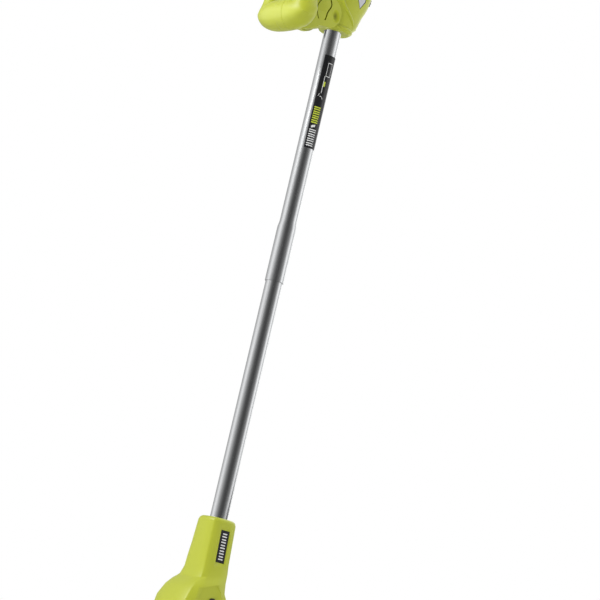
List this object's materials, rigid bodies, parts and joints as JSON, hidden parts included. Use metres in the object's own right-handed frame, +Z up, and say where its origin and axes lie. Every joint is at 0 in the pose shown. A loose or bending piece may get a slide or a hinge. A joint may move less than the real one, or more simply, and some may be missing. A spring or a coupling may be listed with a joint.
{
  "type": "electric string trimmer",
  "caption": "Corded string trimmer: leaning two-piece tube, tilting motor head with bump-feed spool and guard, swivelling rear housing and looped front handle.",
  "frame": {"origin": "centre of the bump knob's flat foot, under the motor shaft", "axes": "+Z up, cutting side at -X, operator at +X, the tool's left side at -Y; the tube leans toward +X at rest"},
  "size_m": [0.6139, 0.2648, 1.2305],
  "materials": {
    "lime_plastic": "moulded, satin",
    "black_plastic": "moulded, fine texture",
    "silver_tube": "satin",
    "steel": "plated",
    "ferrite": "dull",
    "copper": "varnished wire",
    "nylon_line": "smooth",
    "light_plate": "satin",
    "rubber": "soft matt"
  },
  "bodies": {
    "head": {"pod_left": "lime_plastic", "pod_right": "lime_plastic", "pod_base": "black_plastic", "pod_screw_front": "steel", "pod_screw_rear": "steel", "lower_bearing": "steel", "motor_can": "steel", "field_magnet": "ferrite", "motor_end_cap": "black_plastic", "upper_bearing": "steel", "rear_brush": "ferrite", "front_brush": "ferrite", "guard": "black_plastic", "guard_screw_left": "steel", "guard_screw_right": "steel", "line_cutter": "steel"},
    "spin": {"motor_shaft": "steel", "armature": "copper", "spool_hub": "black_plastic", "line_eyelet": "steel", "cutting_line": "nylon_line", "hub_cover": "black_plastic", "hub_nut": "steel", "spool_spring": "steel"},
    "bump": {"bump_knob": "black_plastic"},
    "spool": {"line_spool": "lime_plastic", "wound_line": "nylon_line"},
    "shaft": {"neck_left": "lime_plastic", "neck_right": "lime_plastic", "neck_badge": "black_plastic", "neck_screw_front": "steel", "neck_screw_rear": "steel", "tilt_pin_left": "steel", "tilt_pin_right": "steel", "lower_tube": "silver_tube", "upper_tube": "silver_tube", "lead_grommet": "rubber", "motor_lead": "rubber", "swivel_flange": "black_plastic"},
    "tilt_release": {"tilt_button": "black_plastic"},
    "tube_snap": {"snap_button": "steel"},
    "rear": {"housing_left": "lime_plastic", "housing_right": "lime_plastic", "housing_screw_front": "steel", "housing_screw_rear": "steel", "data_plate": "light_plate", "swivel_bush": "black_plastic", "grip_pad": "rubber", "rear_cap": "black_plastic", "cord_gland": "rubber", "trigger_pin": "steel", "trigger_switch": "black_plastic"},
    "swivel_latch": {"swivel_lock": "black_plastic"},
    "trigger_lever": {"trigger": "black_plastic"},
    "lock_off": {"lock_off_button": "black_plastic"},
    "front_handle": {"handle_left": "lime_plastic", "handle_right": "lime_plastic", "handle_grip": "rubber", "pivot_bolt": "steel"},
    "clamp_knob": {"handle_knob": "black_plastic"}
  },
  "joints": [
    {"name": "spool_spin", "type": "hinge", "parent": "head", "child": "spin", "pos_m": [0, 0, 0], "axis": [0, 0, 1], "continuous": true},
    {"name": "bump_feed", "type": "slide", "parent": "spin", "child": "bump", "axis": [0, 0, 1], "range_m": [0, 0.004], "stiffness_N_per_m": 3000, "springref_m": -0.006, "deforming": ["spool_spring"]},
    {"name": "spool_payout", "type": "hinge", "parent": "bump", "child": "spool", "pos_m": [0, 0, 0], "axis": [0, 0, 1], "continuous": true},
    {"name": "head_tilt", "type": "hinge", "parent": "head", "child": "shaft", "pos_m": [0, 0, 0.115], "axis": [0, 1, 0], "range_deg": [0, 40]},
    {"name": "tilt_button_press", "type": "slide", "parent": "shaft", "child": "tilt_release", "axis": [0, 1, 0], "range_m": [0, 0.003], "stiffness_N_per_m": 1500, "springref_m": -0.003},
    {"name": "snap_button_press", "type": "slide", "parent": "shaft", "child": "tube_snap", "axis": [-0.9588, 0, 0.284], "range_m": [0, 0.002], "stiffness_N_per_m": 2000, "springref_m": -0.002},
    {"name": "shaft_swivel", "type": "hinge", "parent": "shaft", "child": "rear", "pos_m": [0.25549, 0, 0.94208], "axis": [0.284, 0, 0.9588], "range_deg": [0, 180]},
    {"name": "swivel_lock_slide", "type": "slide", "parent": "rear", "child": "swivel_latch", "axis": [0.284, 0, 0.9588], "range_m": [0, 0.006], "stiffness_N_per_m": 900, "springref_m": -0.004},
    {"name": "trigger_pull", "type": "hinge", "parent": "rear", "child": "trigger_lever", "pos_m": [0.36078, 0, 1.13014], "axis": [0, -1, 0], "range_deg": [0, 7], "stiffness_Nm_per_rad": 3, "springref_deg": -3.44},
    {"name": "lock_off_press", "type": "slide", "parent": "rear", "child": "lock_off", "axis": [-0.8039, 0, 0.5948], "range_m": [0, 0.0035], "stiffness_N_per_m": 1200, "springref_m": -0.002},
    {"name": "front_handle_tilt", "type": "hinge", "parent": "rear", "child": "front_handle", "pos_m": [0.22485, 0, 0.9668], "axis": [0, 1, 0], "range_deg": [-60, 8]},
    {"name": "clamp_knob_turn", "type": "hinge", "parent": "front_handle", "child": "clamp_knob", "pos_m": [0.22485, 0, 0.9668], "axis": [0, 1, 0], "continuous": true}
  ]
}
